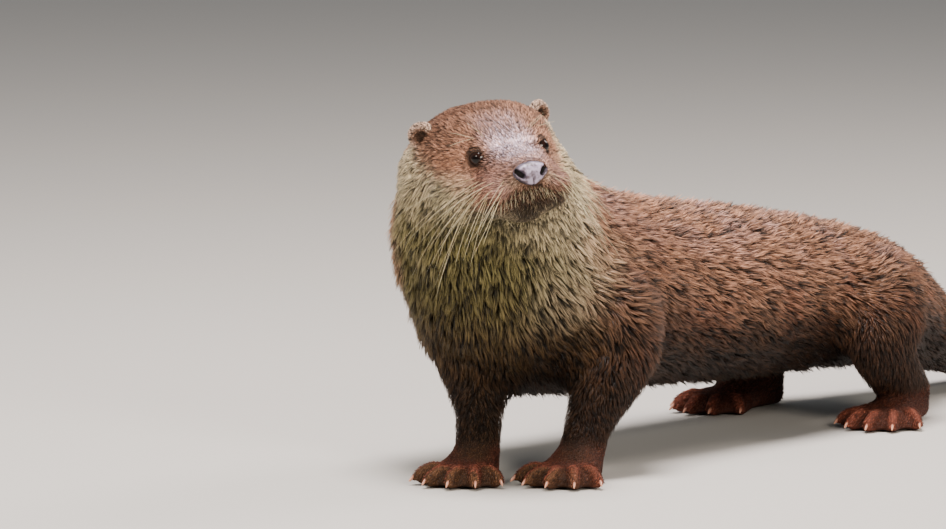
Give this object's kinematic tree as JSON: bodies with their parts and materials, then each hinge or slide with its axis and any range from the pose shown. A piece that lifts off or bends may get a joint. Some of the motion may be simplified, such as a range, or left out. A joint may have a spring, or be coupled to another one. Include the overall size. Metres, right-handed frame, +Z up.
{
  "type": "eurasian otter",
  "caption": "Life-size still otter standing on straight forelegs, hindquarters low, head raised and turned to its left, long tail laid on the floor.",
  "frame": {"origin": "on the floor, under the middle of the bounding box", "axes": "+Z up, the trunk along Y with the chest towards -Y and the tail towards +Y, the animal's left towards +X"},
  "size_m": [0.2076, 0.9574, 0.2449],
  "materials": {
    "coat_brown": "damp brown fur",
    "coat_pale": "damp cream fur of the throat",
    "coat_dark": "wet dark brown fur",
    "paw_skin": "wet short fur and bare toe skin",
    "nose_skin": "moist bare skin",
    "eye": "wet and glossy",
    "claw": "smooth horn"
  },
  "bodies": {
    "root": {"head": "coat_brown", "neck": "coat_pale", "trunk": "coat_brown", "tail_root": "coat_brown", "tail_tip": "coat_brown", "foreleg_right": "coat_dark", "foreleg_left": "coat_dark", "hindleg_right": "coat_dark", "hindleg_left": "coat_dark", "forepaw_right": "paw_skin", "forepaw_left": "paw_skin", "hindpaw_right": "paw_skin", "hindpaw_left": "paw_skin", "ear_right": "coat_brown", "ear_left": "coat_brown", "eye_right": "eye", "eye_left": "eye", "nose": "nose_skin", "claw_fore_right_1": "claw", "claw_fore_right_2": "claw", "claw_fore_right_3": "claw", "claw_fore_right_4": "claw", "claw_fore_right_5": "claw", "claw_fore_left_1": "claw", "claw_fore_left_2": "claw", "claw_fore_left_3": "claw", "claw_fore_left_4": "claw", "claw_fore_left_5": "claw", "claw_hind_right_1": "claw", "claw_hind_right_2": "claw", "claw_hind_right_3": "claw", "claw_hind_right_4": "claw", "claw_hind_right_5": "claw", "claw_hind_left_1": "claw", "claw_hind_left_2": "claw", "claw_hind_left_3": "claw", "claw_hind_left_4": "claw", "claw_hind_left_5": "claw"}
  },
  "joints": []
}
